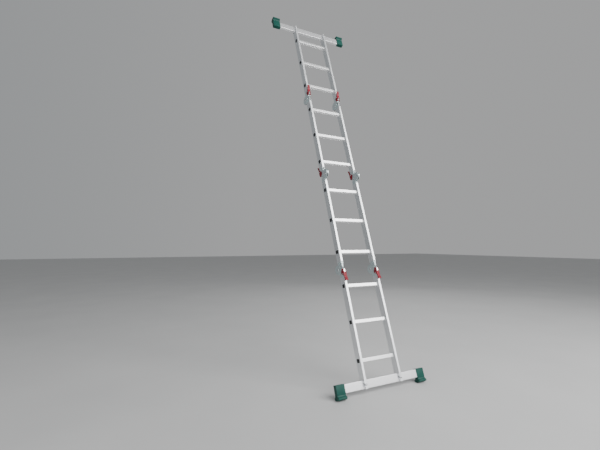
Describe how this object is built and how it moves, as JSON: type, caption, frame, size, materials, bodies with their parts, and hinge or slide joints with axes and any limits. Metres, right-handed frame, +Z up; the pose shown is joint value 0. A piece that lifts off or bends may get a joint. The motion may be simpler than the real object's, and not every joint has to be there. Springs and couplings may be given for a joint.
{
  "type": "multi position ladder",
  "caption": "Folding aluminium ladder of hinged sections with square rungs, lever-released locking hinges and a stabiliser bar with flared feet at each end.",
  "frame": {"origin": "on the floor, midway between the two lower feet, where the ladder's middle plane meets the floor", "axes": "+X along the rungs to the climber's right, +Y from the climber to the wall, +Z up; the stiles lean 20 degrees from +Z towards +Y"},
  "size_m": [0.8, 1.2533, 3.3181],
  "materials": {
    "stile_aluminium": "mill finish, fine lengthwise drawing lines",
    "rung_aluminium": "mill finish, grooved treads",
    "bar_aluminium": "mill finish",
    "plug_black": "moulded, matt",
    "rivet_steel": "zinc plated",
    "bolt_steel": "zinc plated",
    "foot_green": "moulded, fine texture",
    "hinge_zinc": "bright zinc plate with a faint blue tint",
    "lock_steel": "bright",
    "guard_black": "moulded, matt",
    "spring_steel": "oiled wire",
    "lever_red": "moulded, glossy"
  },
  "bodies": {
    "section_1": {"section_1_left_stile": "stile_aluminium", "section_1_right_stile": "stile_aluminium", "section_1_rungs": "rung_aluminium", "section_1_rung_plugs": "plug_black", "section_1_rivets": "rivet_steel", "lower_stabiliser_bar": "bar_aluminium", "lower_bar_fixings": "bolt_steel", "lower_left_foot": "foot_green", "lower_right_foot": "foot_green", "lower_hinge_cheek_plates": "hinge_zinc", "lower_hinge_pins": "bolt_steel", "lower_hinge_guards": "guard_black", "lower_lever_springs": "spring_steel"},
    "section_2": {"section_2_left_stile": "stile_aluminium", "section_2_right_stile": "stile_aluminium", "section_2_rungs": "rung_aluminium", "section_2_rung_plugs": "plug_black", "section_2_rivets": "rivet_steel", "lower_left_notched_plates": "hinge_zinc", "lower_right_notched_plates": "hinge_zinc", "middle_left_notched_plates": "hinge_zinc", "middle_right_notched_plates": "hinge_zinc"},
    "section_3": {"section_3_left_stile": "stile_aluminium", "section_3_right_stile": "stile_aluminium", "section_3_rungs": "rung_aluminium", "section_3_rung_plugs": "plug_black", "section_3_rivets": "rivet_steel", "middle_hinge_cheek_plates": "hinge_zinc", "middle_hinge_pins": "bolt_steel", "middle_hinge_guards": "guard_black", "middle_lever_springs": "spring_steel", "upper_left_notched_plates": "hinge_zinc", "upper_right_notched_plates": "hinge_zinc"},
    "section_4": {"section_4_left_stile": "stile_aluminium", "section_4_right_stile": "stile_aluminium", "section_4_rungs": "rung_aluminium", "section_4_rung_plugs": "plug_black", "section_4_rivets": "rivet_steel", "upper_stabiliser_bar": "bar_aluminium", "upper_bar_fixings": "bolt_steel", "upper_left_foot": "foot_green", "upper_right_foot": "foot_green", "upper_hinge_cheek_plates": "hinge_zinc", "upper_hinge_pins": "bolt_steel", "upper_hinge_guards": "guard_black", "upper_lever_springs": "spring_steel"},
    "lower_left_lever": {"lower_left_lever": "lever_red"},
    "lower_left_lock_bolt": {"lower_left_lock_bolt": "lock_steel"},
    "lower_right_lever": {"lower_right_lever": "lever_red"},
    "lower_right_lock_bolt": {"lower_right_lock_bolt": "lock_steel"},
    "middle_left_lever": {"middle_left_lever": "lever_red"},
    "middle_left_lock_bolt": {"middle_left_lock_bolt": "lock_steel"},
    "middle_right_lever": {"middle_right_lever": "lever_red"},
    "middle_right_lock_bolt": {"middle_right_lock_bolt": "lock_steel"},
    "upper_left_lever": {"upper_left_lever": "lever_red"},
    "upper_left_lock_bolt": {"upper_left_lock_bolt": "lock_steel"},
    "upper_right_lever": {"upper_right_lever": "lever_red"},
    "upper_right_lock_bolt": {"upper_right_lock_bolt": "lock_steel"}
  },
  "joints": [
    {"name": "lower_hinge_fold", "type": "hinge", "parent": "section_1", "child": "section_2", "pos_m": [0, 0.35891, 0.86331], "axis": [-1, 0, 0], "range_deg": [0, 180]},
    {"name": "lower_left_lever_press", "type": "hinge", "parent": "section_1", "child": "lower_left_lever", "pos_m": [-0.16, 0.27923, 0.84194], "axis": [1, 0, 0], "range_deg": [0, 14], "stiffness_Nm_per_rad": 1.2, "springref_deg": -20.05, "deforming": ["lower_lever_springs"]},
    {"name": "lower_left_lock_slide", "type": "slide", "parent": "section_1", "child": "lower_left_lock_bolt", "axis": [0, -0.998, 0.0637], "range_m": [0, 0.007]},
    {"name": "lower_right_lever_press", "type": "hinge", "parent": "section_1", "child": "lower_right_lever", "pos_m": [0.16, 0.27923, 0.84194], "axis": [1, 0, 0], "range_deg": [0, 14], "stiffness_Nm_per_rad": 1.2, "springref_deg": -20.05},
    {"name": "lower_right_lock_slide", "type": "slide", "parent": "section_1", "child": "lower_right_lock_bolt", "axis": [0, -0.998, 0.0637], "range_m": [0, 0.007]},
    {"name": "middle_hinge_fold", "type": "hinge", "parent": "section_2", "child": "section_3", "pos_m": [0, 0.56728, 1.68138], "axis": [1, 0, 0], "range_deg": [0, 178.5]},
    {"name": "middle_left_lever_press", "type": "hinge", "parent": "section_3", "child": "middle_left_lever", "pos_m": [-0.16, 0.64696, 1.70275], "axis": [1, 0, 0], "range_deg": [0, 14], "stiffness_Nm_per_rad": 1.2, "springref_deg": -20.05, "deforming": ["middle_lever_springs"]},
    {"name": "middle_left_lock_slide", "type": "slide", "parent": "section_3", "child": "middle_left_lock_bolt", "axis": [0, 0.998, -0.0637], "range_m": [0, 0.007]},
    {"name": "middle_right_lever_press", "type": "hinge", "parent": "section_3", "child": "middle_right_lever", "pos_m": [0.16, 0.64696, 1.70275], "axis": [1, 0, 0], "range_deg": [0, 14], "stiffness_Nm_per_rad": 1.2, "springref_deg": -20.05},
    {"name": "middle_right_lock_slide", "type": "slide", "parent": "section_3", "child": "middle_right_lock_bolt", "axis": [0, 0.998, -0.0637], "range_m": [0, 0.007]},
    {"name": "upper_hinge_fold", "type": "hinge", "parent": "section_3", "child": "section_4", "pos_m": [0, 0.93351, 2.44199], "axis": [-1, 0, 0], "range_deg": [0, 180]},
    {"name": "upper_left_lever_press", "type": "hinge", "parent": "section_4", "child": "upper_left_lever", "pos_m": [-0.16, 0.8862, 2.50958], "axis": [-1, 0, 0], "range_deg": [0, 14], "stiffness_Nm_per_rad": 1.2, "springref_deg": -20.05, "deforming": ["upper_lever_springs"]},
    {"name": "upper_left_lock_slide", "type": "slide", "parent": "section_4", "child": "upper_left_lock_bolt", "axis": [0, -0.8054, 0.5927], "range_m": [0, 0.007]},
    {"name": "upper_right_lever_press", "type": "hinge", "parent": "section_4", "child": "upper_right_lever", "pos_m": [0.16, 0.8862, 2.50958], "axis": [-1, 0, 0], "range_deg": [0, 14], "stiffness_Nm_per_rad": 1.2, "springref_deg": -20.05},
    {"name": "upper_right_lock_slide", "type": "slide", "parent": "section_4", "child": "upper_right_lock_bolt", "axis": [0, -0.8054, 0.5927], "range_m": [0, 0.007]}
  ],
  "couplings": [
    {"joint": "lower_left_lock_slide", "follows": "lower_left_lever_press", "m_per_rad": 0.0267},
    {"joint": "lower_right_lock_slide", "follows": "lower_right_lever_press", "m_per_rad": 0.0267},
    {"joint": "middle_left_lock_slide", "follows": "middle_left_lever_press", "m_per_rad": 0.0267},
    {"joint": "middle_right_lock_slide", "follows": "middle_right_lever_press", "m_per_rad": 0.0267},
    {"joint": "upper_left_lock_slide", "follows": "upper_left_lever_press", "m_per_rad": 0.0267},
    {"joint": "upper_right_lock_slide", "follows": "upper_right_lever_press", "m_per_rad": 0.0267}
  ]
}
